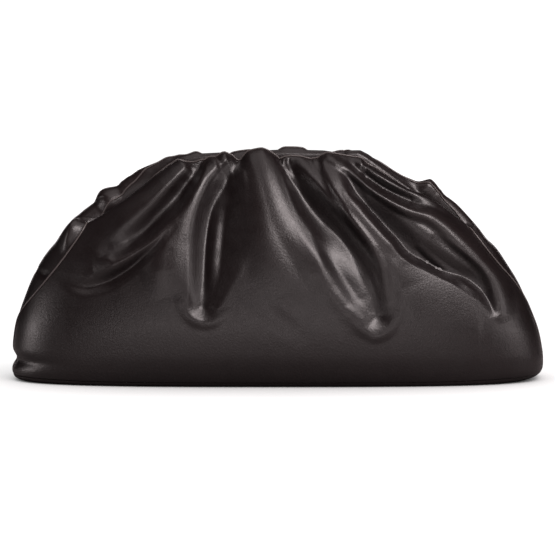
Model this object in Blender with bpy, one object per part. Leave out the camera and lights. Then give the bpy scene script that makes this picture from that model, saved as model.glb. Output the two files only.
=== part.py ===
"""A soft gathered leather pouch bag, standing shut on its base.

Four pieces: the gathered front panel, the gathered back panel, the base panel that carries both, and the
hidden clasp frame that the two lips are turned in over. Units are metres, +Z is up and the front faces -Y.
The origin is on the surface that the bag stands on, under the middle of its base.
"""

from collections import namedtuple

import bpy
import numpy as np

# Driving dimensions.
WIDTH = 0.381  # across the belly, end to end
HEIGHT = 0.164  # from the surface to the top of the gathered lips
DEPTH = 0.118  # front to back, low on the belly
LEATHER = 0.0018  # wall of every leather panel
SEAM_GAP = 0.0003  # between two pieces that meet
MOUTH_END_GAP = 0.0030  # between the two turned-in lips at each end of the mouth
TURN_IN = 0.012  # how far the lips are turned down into the mouth
TURN_EASE = 0.35  # share of the turned-in leather that still curves over
MOUTH_SLIT = 0.0020  # between the two turned-in lips when the bag is shut
FOLD_REACH = 0.011  # depth of a fold whose share is 1
DEEPEST_FOLD = 0.012  # that valleys which cross come near but don't pass
HIGHEST_FOLD = 0.016  # and the same for crests
FRAME_THICKNESS = 0.0028  # of the clasp frame, front to back
FRAME_HEIGHT = 0.0085  # of the clasp frame, up and down
FRAME_DROP = 0.0085  # from the top of the lips to the top of the clasp frame
FRAME_CLEARANCE = 0.0004  # between the clasp frame and the turned-in leather
FRAME_ROOM = 0.0090  # that valleys leave on each side of the middle at the height of the clasp frame
LIP_ROOM = 0.0056  # and at the top of the lips
SEAM_QUIET = 0.10  # share of a panel's width over which its folds fade out towards each side seam

# The heights in the front's fold table are those seen from a little above the level of the bag.
VIEW_SLOPE = 0.096  # how far a point seems lower for each step that it is nearer
VIEW_FRONT = 0.76  # share of the half depth at which a height reads true

# How finely the panels are cut into faces.
FRONT_COLUMNS = 56
BACK_COLUMNS = 36
FRAME_COLUMNS = 28
RING_SAMPLES = 720

HALF_WIDTH = WIDTH / 2
HALF_DEPTH = DEPTH / 2

# One row for each level of the body, from the flat of the base up to the inside of the lips. rows is how
# many rows of faces lie between it and the next level. middle_z, left_z and right_z are shares of HEIGHT,
# half_width of HALF_WIDTH and half_depth of HALF_DEPTH. A level stays at middle_z as far as the share flat of
# its half width, then arches to left_z at the left end and right_z at the right. square says how boxy it is
# in plan. left_seam and right_seam say how far in front of the two ends the side seams pass, as shares of the
# half depth there.
Level = namedtuple(
    "Level", "name rows middle_z left_z right_z flat half_width half_depth square left_seam right_seam"
)
LEVELS = [
    Level(*row)
    for row in (
        ("flat_of_base", 1, 0.000, 0.000, 0.000, 0.60, 0.890, 0.640, 3.0, 0.00, 0.00),
        ("edge_of_flat", 1, 0.000, 0.000, 0.002, 0.60, 0.955, 0.780, 3.0, 0.00, 0.00),
        ("turn_of_base", 1, 0.005, 0.009, 0.011, 0.60, 0.984, 0.850, 3.0, 0.00, 0.00),
        ("base_seam", 1, 0.020, 0.026, 0.030, 0.60, 0.997, 0.890, 2.9, 0.00, 0.00),
        ("low_belly", 1, 0.070, 0.076, 0.084, 0.55, 1.000, 0.950, 2.8, 0.00, 0.00),
        ("belly", 2, 0.150, 0.142, 0.130, 0.50, 0.996, 0.995, 2.7, 0.02, 0.00),
        ("over_belly", 3, 0.280, 0.262, 0.215, 0.50, 0.980, 1.000, 2.6, 0.16, 0.02),
        ("waist", 3, 0.430, 0.373, 0.313, 0.50, 0.948, 0.940, 2.5, 0.40, 0.10),
        ("shoulder", 3, 0.575, 0.470, 0.412, 0.45, 0.912, 0.830, 2.4, 0.52, 0.28),
        ("upper_shoulder", 3, 0.705, 0.550, 0.494, 0.42, 0.870, 0.690, 2.4, 0.58, 0.44),
        ("gathers", 3, 0.820, 0.610, 0.570, 0.40, 0.822, 0.540, 2.5, 0.60, 0.52),
        ("under_lip", 2, 0.910, 0.636, 0.615, 0.40, 0.775, 0.400, 2.7, 0.56, 0.52),
        ("lip_outside", 2, 0.972, 0.630, 0.636, 0.40, 0.737, 0.265, 3.0, 0.46, 0.46),
        ("lip_top", 1, 1.000, 0.602, 0.626, 0.40, 0.706, 0.140, 3.4, 0.32, 0.32),
        ("lip_inside", 1, 0.988, 0.582, 0.606, 0.40, 0.688, 0.056, 4.0, 0.20, 0.20),
    )
]
ARCH = 1.4  # power of the curve by which a level leaves middle_z for end_z
SLIT_WIDTH = 0.674  # half width of the slit of the mouth, as a share of HALF_WIDTH
SLIT_SQUARE = 6.0  # how boxy the slit is in plan
SEAM_LEVEL = 3  # the level that the base seam follows
LIP_LEVEL = 13  # the level that is the top of the lips
LIP_FADE = 1.6  # levels over which folds fade out and the side seams open at the lips
LIP_FADE_END = 1.2  # levels past the top of the lips where no fold is left

# One row for each fold. top, bend and end are points that its line passes, seen from the front: x as a share
# of HALF_WIDTH, z as a share of HEIGHT. width is its half width at those points, as shares of HALF_WIDTH, and
# lift its height there as shares of FOLD_REACH, below zero for a valley.
Fold = namedtuple("Fold", "name top bend end width lift")
FRONT_FOLDS = [
    Fold(*row)
    for row in (
        ("left_crest", (-0.36, 0.97), (-0.53, 0.76), (-0.72, 0.55),
         (0.07, 0.095, 0.105), (0.45, 0.6, 0.3)),
        ("left_hem", (-0.41, 0.72), (-0.57, 0.5), (-0.78, 0.49),
         (0.045, 0.05, 0.045), (-0.35, -0.45, -0.15)),
        ("left_valley", (-0.31, 1.02), (-0.4, 0.78), (-0.54, 0.58),
         (0.04, 0.065, 0.05), (-0.7, -1.0, -0.3)),
        ("second_crest", (-0.18, 0.97), (-0.34, 0.7), (-0.31, 0.34),
         (0.045, 0.06, 0.055), (0.35, 0.6, 0.4)),
        ("second_valley", (-0.16, 1.02), (-0.22, 0.66), (-0.26, 0.36),
         (0.045, 0.085, 0.065), (-0.7, -1.1, -0.7)),
        ("second_hem", (-0.36, 0.34), (-0.25, 0.25), (-0.16, 0.35),
         (0.045, 0.045, 0.045), (-0.1, -0.3, -0.1)),
        ("middle_crest", (-0.06, 1.0), (-0.03, 0.74), (0.04, 0.4), (0.11, 0.13, 0.12), (0.35, 0.6, 0.15)),
        ("middle_right_crest", (0.02, 0.86), (0.15, 0.52), (0.36, 0.25),
         (0.05, 0.055, 0.05), (0.2, 0.35, 0.35)),
        ("third_valley", (0.06, 1.02), (0.25, 0.64), (0.4, 0.34),
         (0.045, 0.095, 0.065), (-0.7, -1.15, -0.7)),
        ("third_hem", (0.2, 0.32), (0.39, 0.19), (0.49, 0.36),
         (0.045, 0.045, 0.045), (-0.15, -0.35, -0.15)),
        ("fourth_crest", (0.2, 0.97), (0.37, 0.7), (0.49, 0.4), (0.06, 0.085, 0.08), (0.4, 0.55, 0.3)),
        ("fourth_valley", (0.25, 1.0), (0.5, 0.66), (0.82, 0.36),
         (0.045, 0.075, 0.05), (-0.75, -1.2, -0.45)),
        ("fifth_crest", (0.27, 0.97), (0.42, 0.8), (0.6, 0.73), (0.035, 0.04, 0.04), (0.3, 0.55, 0.35)),
        ("fifth_valley", (0.29, 1.01), (0.41, 0.87), (0.58, 0.78),
         (0.035, 0.038, 0.035), (-0.6, -0.8, -0.4)),
        ("right_crest", (0.56, 0.77), (0.75, 0.57), (0.87, 0.34),
         (0.055, 0.06, 0.055), (0.45, 0.6, 0.25)),
    )
]
BACK_FOLDS = [
    Fold(*row)
    for row in (
        ("left_swell", (-0.4, 0.98), (-0.56, 0.85), (-0.74, 0.68),
         (0.085, 0.11, 0.075), (0.85, 1.45, 0.35)),
        ("right_swell", (0.4, 0.96), (0.58, 0.81), (0.78, 0.59), (0.065, 0.09, 0.07), (0.55, 0.8, 0.3)),
        ("first_valley", (-0.36, 1.0), (-0.55, 0.74), (-0.74, 0.44),
         (0.04, 0.065, 0.06), (-0.6, -0.95, -0.35)),
        ("second_valley", (-0.22, 1.02), (-0.33, 0.68), (-0.4, 0.38),
         (0.035, 0.08, 0.07), (-0.55, -0.9, -0.6)),
        ("second_crest", (-0.14, 0.99), (-0.19, 0.7), (-0.22, 0.4),
         (0.06, 0.08, 0.09), (0.25, 0.4, 0.15)),
        ("third_valley", (-0.04, 1.02), (-0.03, 0.64), (-0.05, 0.32),
         (0.035, 0.085, 0.075), (-0.55, -0.95, -0.55)),
        ("third_crest", (0.06, 0.99), (0.12, 0.72), (0.15, 0.4), (0.055, 0.08, 0.08), (0.25, 0.4, 0.15)),
        ("fourth_valley", (0.15, 1.02), (0.27, 0.7), (0.33, 0.36),
         (0.035, 0.08, 0.065), (-0.6, -0.95, -0.5)),
        ("fourth_crest", (0.24, 0.97), (0.4, 0.72), (0.53, 0.44), (0.05, 0.07, 0.08), (0.25, 0.4, 0.15)),
        ("fifth_valley", (0.33, 1.0), (0.54, 0.74), (0.72, 0.46),
         (0.035, 0.06, 0.055), (-0.65, -1.0, -0.35)),
    )
]
FOLD_FOOT = 1.7  # how many half widths from its line a fold has died out

LEATHER_COLOUR = (0.022, 0.017, 0.018, 1.0)
LEATHER_ROUGHNESS = 0.40
FRAME_COLOUR = (0.35, 0.34, 0.32, 1.0)
FRAME_ROUGHNESS = 0.35


def clear_scene():
    for old in list(bpy.data.objects):
        bpy.data.objects.remove(old)


def material(name, colour, roughness, metallic):
    made = bpy.data.materials.new(name)
    made.use_nodes = True
    shader = made.node_tree.nodes["Principled BSDF"]
    shader.inputs["Base Color"].default_value = colour
    shader.inputs["Roughness"].default_value = roughness
    shader.inputs["Metallic"].default_value = metallic
    made.diffuse_color = colour
    return made


def smooth_through(values, place):
    """The Catmull-Rom curve through values at place, which counts from the first value."""
    values = np.asarray(values, float)
    last = len(values) - 1
    i = min(int(place), last - 1)
    f = place - i
    before, here = values[max(i - 1, 0)], values[i]
    after, beyond = values[i + 1], values[min(i + 2, last)]
    bend = 2 * before - 5 * here + 4 * after - beyond
    twist = 3 * (here - after) + beyond - before
    return here + 0.5 * f * (after - before + f * (bend + f * twist))


def levels_in_metres():
    """The level table in metres, without names and rows, and with the two levels of the turned-in lips."""
    table = [
        (
            level.middle_z * HEIGHT,
            level.left_z * HEIGHT,
            level.right_z * HEIGHT,
            level.flat,
            level.half_width * HALF_WIDTH,
            level.half_depth * HALF_DEPTH,
            level.square,
            level.left_seam,
            level.right_seam,
        )
        for level in LEVELS
    ]
    table += [slit_level(TURN_EASE * TURN_IN), slit_level(TURN_IN)]
    return np.array(table)


def slit_level(down):
    """A level of the slit of the mouth, so far down from the top of the lips."""
    lip = LEVELS[LIP_LEVEL]
    return (
        lip.middle_z * HEIGHT - down,
        lip.left_z * HEIGHT - down,
        lip.right_z * HEIGHT - down,
        lip.flat,
        SLIT_WIDTH * HALF_WIDTH,
        MOUTH_SLIT / 2,
        SLIT_SQUARE,
        lip.left_seam,
        lip.right_seam,
    )


def arched(level, x):
    """Heights of a level at places x across it."""
    middle_z, left_z, right_z, flat, half_width = level[:5]
    past_flat = np.clip((np.abs(x) / half_width - flat) / (1 - flat), 0, 1)
    return middle_z + (np.where(x < 0, left_z, right_z) - middle_z) * past_flat**ARCH


def half_ring(level, side, columns):
    """Points evenly spaced along one side of a level, seam to seam: side -1 is the front, 1 the back."""
    half_width, half_depth, square, left_seam, right_seam = level[4:]
    # Each side seam is where the ring, going round an end, comes as far forward as asked.
    left, right = (np.arcsin(max(share, 0) ** (square / 2)) for share in (left_seam, right_seam))
    first, last = (np.pi + left, 2 * np.pi - right) if side < 0 else (-right, np.pi + left)
    angle = np.linspace(first, last, RING_SAMPLES)
    x = half_width * np.sign(np.cos(angle)) * np.abs(np.cos(angle)) ** (2 / square)
    y = half_depth * np.sign(np.sin(angle)) * np.abs(np.sin(angle)) ** (2 / square)
    z = arched(level, x)
    run = np.concatenate([[0], np.cumsum(np.hypot(np.hypot(np.diff(x), np.diff(y)), np.diff(z)))])
    even = np.linspace(0, run[-1], columns + 1)
    return np.stack([np.interp(even, run, axis) for axis in (x, y, z)], axis=1)


def row_places():
    """Where the body is cut into rows, counted in levels from the first."""
    places = [0.0]
    for i, rows in enumerate([level.rows for level in LEVELS] + [1]):
        places += [i + (k + 1) / rows for k in range(rows)]
    return np.array(places)


def smooth_body():
    """The body before its folds: a grid of rows by columns, first the front's columns, then the back's."""
    places, table = row_places(), levels_in_metres()
    grid = []
    for place in places:
        level = smooth_through(table, place)
        front, back = half_ring(level, -1, FRONT_COLUMNS), half_ring(level, 1, BACK_COLUMNS)
        grid.append(np.concatenate([front[:-1], back[:-1]]))
    return places, np.array(grid)


def outward_normals(grid):
    """Unit normals of a grid of rows by columns that closes on itself along its columns."""
    along = np.roll(grid, -1, axis=1) - np.roll(grid, 1, axis=1)
    up = np.gradient(grid, axis=0)
    normal = np.cross(along, up)
    return normal / np.maximum(np.linalg.norm(normal, axis=2, keepdims=True), 1e-12)


def eased(share):
    """A share from 0 to 1 that starts and stops gently."""
    return share**2 * (3 - 2 * share)


def fold_lift(fold, x, z):
    """How far one fold lifts the leather at points given by their x and z, seen from the front."""
    q = np.linspace(0, 1, 24)
    # The curve that passes top at 0, bend at a half and end at 1.
    weights = np.stack([2 * (q - 0.5) * (q - 1), 4 * q * (1 - q), 2 * q * (q - 0.5)], axis=1)
    line = weights @ np.array([fold.top, fold.bend, fold.end]) * (HALF_WIDTH, HEIGHT)
    here, step = line[:-1], np.diff(line, axis=0)
    to = np.stack([x, z], axis=1)[:, None, :] - here
    along = np.clip((to * step).sum(axis=2) / (step**2).sum(axis=1), 0, 1)
    away = to - along[..., None] * step
    distance = np.hypot(away[..., 0], away[..., 1])
    nearest = distance.argmin(axis=1)
    pick = np.arange(len(x))
    place = (nearest + along[pick, nearest]) / len(step)
    half_width = np.interp(place, (0, 0.5, 1), fold.width) * HALF_WIDTH
    lift = np.interp(place, (0, 0.5, 1), fold.lift) * FOLD_REACH
    share = np.clip(distance[pick, nearest] / (FOLD_FOOT * half_width), 0, 1)
    return lift * (1 - share**2) ** 2


def folded_body():
    """The body with its folds pressed in and raised, and its outward normals."""
    places, grid = smooth_body()
    normals = outward_normals(grid)
    rows, columns, _ = grid.shape
    # The fold tables were read off a view that looks down on the front a little.
    seen_z = grid[..., 2] + VIEW_SLOPE * (grid[..., 1] + VIEW_FRONT * HALF_DEPTH)
    x, z = grid[..., 0].reshape(-1), seen_z.reshape(-1)
    lift = np.zeros(rows * columns)
    is_front = np.broadcast_to(np.arange(columns) <= FRONT_COLUMNS, (rows, columns)).reshape(-1)
    for side, folds in ((is_front, FRONT_FOLDS), (~is_front, BACK_FOLDS)):
        for fold in folds:
            lift[side] += fold_lift(fold, x[side], z[side])
    lift = lift.reshape(rows, columns)
    # Folds die out at the side seams, at the base, and where the lips are turned in.
    column = np.arange(columns)
    from_seam = np.where(
        column <= FRONT_COLUMNS,
        np.minimum(column, FRONT_COLUMNS - column) / FRONT_COLUMNS,
        np.minimum(column - FRONT_COLUMNS, columns - column) / BACK_COLUMNS,
    )
    at_seam = np.clip(from_seam / SEAM_QUIET, 0, 1)
    over_lip = np.clip((LIP_LEVEL + LIP_FADE_END - places) / LIP_FADE, 0, 1)
    over_base = np.clip(places - SEAM_LEVEL, 0, 1)
    lift *= eased(at_seam)
    lift *= (eased(over_lip) * over_base)[:, None]
    # A valley may go no deeper than leaves room for the frame and the turned-in leather behind it.
    kept_free = np.interp(places, (LIP_LEVEL - LIP_FADE, LIP_LEVEL), (FRAME_ROOM, LIP_ROOM))
    room = np.clip(np.abs(grid[..., 1]) - kept_free[:, None], SEAM_GAP, DEEPEST_FOLD)
    room = np.where(lift > 0, HIGHEST_FOLD, room)
    lift = room * np.tanh(lift / room)
    grid = grid + normals * lift[..., None]
    return places, grid, outward_normals(grid)


def trimmed(grid, axis, from_start, gap):
    """The grid with one border moved in along the leather by half a gap, which may vary along the border."""
    grid = grid.copy()
    lines = np.moveaxis(grid, axis, 0)
    if not from_start:
        lines = lines[::-1]
    step = lines[1] - lines[0]
    length = np.linalg.norm(step, axis=1, keepdims=True)
    lines[0] += step / np.maximum(length, 1e-9) * np.reshape(gap, (-1, 1)) / 2
    return grid


def add_mesh(name, points, faces, finish):
    mesh = bpy.data.meshes.new(name)
    mesh.from_pydata([tuple(p) for p in points], [], faces)
    mesh.materials.append(finish)
    mesh.update()
    mesh.shade_smooth()
    mesh.set_sharp_from_angle(angle=0.7)
    made = bpy.data.objects.new(name, mesh)
    bpy.context.scene.collection.objects.link(made)
    return made


def grid_faces(grid, closed_round):
    """Triangles of a grid of points, wound to face along its outward normals. Each four points are split the
    way that bends less, so that a fold's edge runs clean."""
    rows, columns, _ = grid.shape
    points = grid.reshape(-1, 3)
    across = columns if closed_round else columns - 1
    r, c = np.divmod(np.arange((rows - 1) * across), across)
    d = (c + 1) % columns
    corners = np.stack([r * columns + c, r * columns + d, (r + 1) * columns + d, (r + 1) * columns + c])
    splits = []
    for turned in (corners, np.roll(corners, -1, axis=0)):
        pair = [(turned[0], turned[1], turned[2]), (turned[0], turned[2], turned[3])]
        normals = [np.cross(points[j] - points[i], points[k] - points[i]) for i, j, k in pair]
        normals = [n / np.maximum(np.linalg.norm(n, axis=1, keepdims=True), 1e-15) for n in normals]
        splits.append((np.stack(pair), (normals[0] * normals[1]).sum(axis=1)))
    first_is_flatter = splits[0][1] >= splits[1][1]
    chosen = np.where(first_is_flatter, splits[0][0], splits[1][0])
    return [tuple(face) for face in chosen.transpose(0, 2, 1).reshape(-1, 3).tolist()]


def skin(grid, normals, closed_round):
    """Points and triangles of a sheet's outside face and, one thickness in, of its inside face."""
    inside = grid - normals * LEATHER
    faces = grid_faces(grid, closed_round)
    count = grid.shape[0] * grid.shape[1]
    faces += [(k + count, j + count, i + count) for i, j, k in faces]
    return np.concatenate([grid.reshape(-1, 3), inside.reshape(-1, 3)]), faces, count


def add_panel(name, outside, normals, finish):
    """An open sheet of leather of one thickness, as a closed solid: outside, inside and four edges."""
    points, faces, count = skin(outside, normals, False)
    rows, columns, _ = outside.shape
    border = [(0, c) for c in range(columns)]
    border += [(r, columns - 1) for r in range(1, rows)]
    border += [(rows - 1, c) for c in range(columns - 2, -1, -1)]
    border += [(r, 0) for r in range(rows - 2, 0, -1)]
    ring = [r * columns + c for r, c in border]
    for here, after in zip(ring, ring[1:] + ring[:1]):
        faces.append((after, here, here + count, after + count))
    return add_mesh(name, points, faces, finish)


def add_base(name, outside, normals, finish):
    """The base: a shallow tray of leather whose flat floor is one face below and one above."""
    points, faces, count = skin(outside, normals, True)
    rows, columns, _ = outside.shape
    top = (rows - 1) * columns
    for c in range(columns):
        d = (c + 1) % columns
        faces.append((top + c, top + d, top + d + count, top + c + count))
    faces.append(tuple(range(columns - 1, -1, -1)))
    faces.append(tuple(range(count, count + columns)))
    return add_mesh(name, points, faces, finish)


def add_clasp_frame(finish):
    """The spring frame that holds the mouth shut: two arms side by side, joined round both its ends."""
    near = MOUTH_SLIT / 2 + LEATHER + FRAME_CLEARANCE
    far = near + FRAME_THICKNESS
    low = FRAME_DROP + FRAME_HEIGHT
    arm_end = SLIT_WIDTH * HALF_WIDTH
    arm = np.linspace(-arm_end, arm_end, FRAME_COLUMNS)
    turn = np.linspace(-np.pi / 2, np.pi / 2, 7)[1:-1]
    loops = []
    for outward, down in ((near, FRAME_DROP), (far, FRAME_DROP), (far, low), (near, low)):
        side = np.full(FRAME_COLUMNS, outward)
        end = outward * np.cos(turn)
        x = np.concatenate([arm, arm_end + end, arm[::-1], -arm_end - end])
        y = np.concatenate([-side, outward * np.sin(turn), side, -outward * np.sin(turn)])
        loops.append(np.stack([x, y, arched(slit_level(down), x)], axis=1))
    points = np.concatenate(loops)
    columns = len(loops[0])
    faces = []
    for k in range(4):
        after = (k + 1) % 4
        for c in range(columns):
            d = (c + 1) % columns
            faces.append((k * columns + c, after * columns + c, after * columns + d, k * columns + d))
    return add_mesh("clasp_frame", points, faces, finish)


def build():
    clear_scene()
    leather = material("smooth_leather", LEATHER_COLOUR, LEATHER_ROUGHNESS, 0.0)
    metal = material("frame_metal", FRAME_COLOUR, FRAME_ROUGHNESS, 1.0)
    places, grid, normals = folded_body()
    seam_row = int(np.flatnonzero(places == SEAM_LEVEL)[0])
    columns = grid.shape[1]
    base = trimmed(grid[: seam_row + 1], 0, False, SEAM_GAP)
    add_base("base_panel", base, normals[: seam_row + 1], leather)
    past_lip = np.clip((places[seam_row:] - LIP_LEVEL) / LIP_FADE + 1, 0, 1)
    side_gap = SEAM_GAP + past_lip * (MOUTH_END_GAP - SEAM_GAP)
    front_columns = np.arange(0, FRONT_COLUMNS + 1)
    back_columns = np.arange(FRONT_COLUMNS, columns + 1) % columns
    for name, chosen in (("front_panel", front_columns), ("back_panel", back_columns)):
        sheet = grid[seam_row:][:, chosen]
        sheet = trimmed(sheet, 0, True, SEAM_GAP)
        sheet = trimmed(trimmed(sheet, 1, True, side_gap), 1, False, side_gap)
        add_panel(name, sheet, normals[seam_row:][:, chosen], leather)
    add_clasp_frame(metal)


build()
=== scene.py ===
"""A soft gathered leather pouch bag, standing shut on its base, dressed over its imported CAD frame.

The sections follow the bag as it is put together: the base, the front, the back, the rolled seam edges, the
clasp frame inside the lips, then the floor, the light and the camera. Units are metres; the front faces -Y.
"""

from collections import namedtuple

import bpy
import numpy as np
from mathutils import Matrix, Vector


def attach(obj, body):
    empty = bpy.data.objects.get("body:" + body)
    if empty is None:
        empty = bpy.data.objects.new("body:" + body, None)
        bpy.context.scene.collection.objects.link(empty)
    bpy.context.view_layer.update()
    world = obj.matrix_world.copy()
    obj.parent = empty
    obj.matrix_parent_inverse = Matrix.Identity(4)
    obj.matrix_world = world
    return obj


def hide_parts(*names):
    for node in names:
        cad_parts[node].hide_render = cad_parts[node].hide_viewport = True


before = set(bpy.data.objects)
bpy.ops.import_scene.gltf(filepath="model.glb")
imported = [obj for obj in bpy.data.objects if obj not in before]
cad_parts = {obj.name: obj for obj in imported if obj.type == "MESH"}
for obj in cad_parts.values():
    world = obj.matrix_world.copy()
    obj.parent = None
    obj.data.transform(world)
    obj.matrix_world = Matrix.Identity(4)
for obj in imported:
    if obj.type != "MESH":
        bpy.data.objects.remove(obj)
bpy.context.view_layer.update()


# The base: one piece of soft leather, cut as a long rounded oval and turned up all round into a shallow tray.
# Its rim is sewn to the bottom of the front and back, and its flat floor is what the bag stands on.

WIDTH = 0.381
HEIGHT = 0.164
DEPTH = 0.118
LEATHER = 0.0018
SEAM_GAP = 0.0003
BASE_COLUMNS = 420
BASE_ROWS = (3, 3, 6)
BASE_SHARP_ANGLE = 0.9

# Levels of the body from the flat of the base to the inside of the lips, as in the solids. middle_z, left_z
# and right_z are shares of HEIGHT; half_width and half_depth are shares of half the WIDTH and DEPTH. flat is
# the share of the width that a level runs straight before it bends to its ends, and square says how boxy it is
# from above. The seams lie forward of the ends by left_seam and right_seam, as shares of the half depth.
Level = namedtuple(
    "Level", "middle_z left_z right_z flat half_width half_depth square left_seam right_seam"
)
LEVELS = [
    Level(*row)
    for row in (
        (0.000, 0.000, 0.000, 0.60, 0.890, 0.640, 3.0, 0.00, 0.00),
        (0.000, 0.000, 0.002, 0.60, 0.955, 0.780, 3.0, 0.00, 0.00),
        (0.005, 0.009, 0.011, 0.60, 0.984, 0.850, 3.0, 0.00, 0.00),
        (0.020, 0.026, 0.030, 0.60, 0.997, 0.890, 2.9, 0.00, 0.00),
        (0.070, 0.076, 0.084, 0.55, 1.000, 0.950, 2.8, 0.00, 0.00),
        (0.150, 0.142, 0.130, 0.50, 0.996, 0.995, 2.7, 0.02, 0.00),
        (0.280, 0.262, 0.215, 0.50, 0.980, 1.000, 2.6, 0.16, 0.02),
        (0.430, 0.373, 0.313, 0.50, 0.948, 0.940, 2.5, 0.40, 0.10),
        (0.575, 0.470, 0.412, 0.45, 0.912, 0.830, 2.4, 0.52, 0.28),
        (0.705, 0.550, 0.494, 0.42, 0.870, 0.690, 2.4, 0.58, 0.44),
        (0.820, 0.610, 0.570, 0.40, 0.822, 0.540, 2.5, 0.60, 0.52),
        (0.910, 0.636, 0.615, 0.40, 0.775, 0.400, 2.7, 0.56, 0.52),
        (0.972, 0.630, 0.636, 0.40, 0.737, 0.265, 3.0, 0.46, 0.46),
        (1.000, 0.602, 0.626, 0.40, 0.706, 0.140, 3.4, 0.32, 0.32),
        (0.988, 0.582, 0.606, 0.40, 0.688, 0.056, 4.0, 0.20, 0.20),
        (0.974, 0.576, 0.600, 0.40, 0.674, 0.017, 6.0, 0.32, 0.32),
        (0.927, 0.529, 0.553, 0.40, 0.674, 0.017, 6.0, 0.32, 0.32),
    )
]
ARCH = 1.4
SEAM_LEVEL = 3
LIP_LEVEL = 13
LEFT_PINCH = 0.0036
PINCH_Z = 0.0152
PINCH_HEIGHT = 0.0045
RIGHT_TURN = 0.0050
TURN_HEIGHT = 0.0042
END_STARTS, END_SPREAD = 0.36, 0.12
RING_POINTS = 1440
FRONT, BACK = -1, 1


def smooth_through(values, place):
    """The Catmull-Rom curve through values at place, which counts from the first value."""
    values = np.asarray(values, float)
    last = len(values) - 1
    i = min(int(place), last - 1)
    f = place - i
    before, here = values[max(i - 1, 0)], values[i]
    after, beyond = values[i + 1], values[min(i + 2, last)]
    bend = 2 * before - 5 * here + 4 * after - beyond
    twist = 3 * (here - after) + beyond - before
    return here + 0.5 * f * (after - before + f * (bend + f * twist))


def eased(share):
    share = np.clip(share, 0, 1)
    return share**2 * (3 - 2 * share)


def arched(level, x):
    """Heights of a level at places x across it, in metres."""
    middle_z, left_z, right_z, flat, half_width = level[:5]
    past_flat = np.clip((np.abs(x) / (half_width * WIDTH / 2) - flat) / (1 - flat), 0, 1)
    return HEIGHT * (middle_z + (np.where(x < 0, left_z, right_z) - middle_z) * past_flat**ARCH)


def half_ring(level, side, columns, crowd):
    """Points along one side of a level from seam to seam, crowded towards the seams by the share crowd."""
    half_width, half_depth, square, left_seam, right_seam = level[4:]
    left, right = (np.arcsin(max(s, 0) ** (square / 2)) for s in (left_seam, right_seam))
    first, last = (np.pi + left, 2 * np.pi - right) if side == FRONT else (-right, np.pi + left)
    angle = np.linspace(first, last, RING_POINTS)
    x = WIDTH / 2 * half_width * np.sign(np.cos(angle)) * np.abs(np.cos(angle)) ** (2 / square)
    y = DEPTH / 2 * half_depth * np.sign(np.sin(angle)) * np.abs(np.sin(angle)) ** (2 / square)
    z = arched(level, x)
    # The left end is pinched in just over the base, and the base's right end turns under more.
    at_end = eased((np.abs(x) - END_STARTS * WIDTH) / (END_SPREAD * WIDTH))
    x += np.where(x < 0, LEFT_PINCH * np.exp(-(((z - PINCH_Z) / PINCH_HEIGHT) ** 2)), 0) * at_end
    x -= np.where(x > 0, RIGHT_TURN * np.exp(-((z / TURN_HEIGHT) ** 2)), 0) * at_end
    run = np.concatenate([[0], np.cumsum(np.hypot(np.hypot(np.diff(x), np.diff(y)), np.diff(z)))])
    share = np.linspace(0, 1, columns + 1)
    share -= crowd * np.sin(2 * np.pi * share) / (2 * np.pi)
    return np.stack([np.interp(share * run[-1], run, axis) for axis in (x, y, z)], axis=1)


def row_places(first_level, rows):
    """Where a panel is cut into rows, counted in levels."""
    places = [float(first_level)]
    for i, count in enumerate(rows):
        places += [first_level + i + (k + 1) / count for k in range(count)]
    return np.array(places)


def smooth_grid(places, side, columns, crowd=0.0):
    return np.array([half_ring(smooth_through(LEVELS, place), side, columns, crowd) for place in places])


def outward_normals(grid):
    """Unit normals of a grid of rows by columns that runs upwards and anticlockwise, seen from above."""
    normal = np.cross(np.gradient(grid, axis=1), np.gradient(grid, axis=0))
    return normal / np.maximum(np.linalg.norm(normal, axis=2, keepdims=True), 1e-12)


def trimmed(grid, axis, from_start, gap):
    """The grid with one border moved in along the leather by half a gap."""
    grid = grid.copy()
    lines = np.moveaxis(grid, axis, 0)
    if not from_start:
        lines = lines[::-1]
    step = lines[1] - lines[0]
    length = np.linalg.norm(step, axis=1, keepdims=True)
    lines[0] += step / np.maximum(length, 1e-9) * np.reshape(gap, (-1, 1)) / 2
    return grid


def leather_piece(name, points, faces, masks):
    """A smooth leather mesh that rides with the bag. masks are values on its points that its finish reads."""
    mesh = bpy.data.meshes.new(name)
    mesh.from_pydata([tuple(p) for p in points], [], faces)
    mesh.update()
    mesh.shade_smooth()
    for mask, values in masks.items():
        mesh.attributes.new(mask, "FLOAT", "POINT").data.foreach_set("value", values.astype(np.float32))
    piece = bpy.data.objects.new(name, mesh)
    bpy.context.scene.collection.objects.link(piece)
    return piece


# The pores are this much finer than the pebbles of the grain, and the dye's clouds this much wider than ripples.
PORES_TO_GRAIN = 2.2
CLOUDS_TO_RIPPLE = 0.4
PEBBLE_SMOOTHNESS = 0.6


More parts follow.
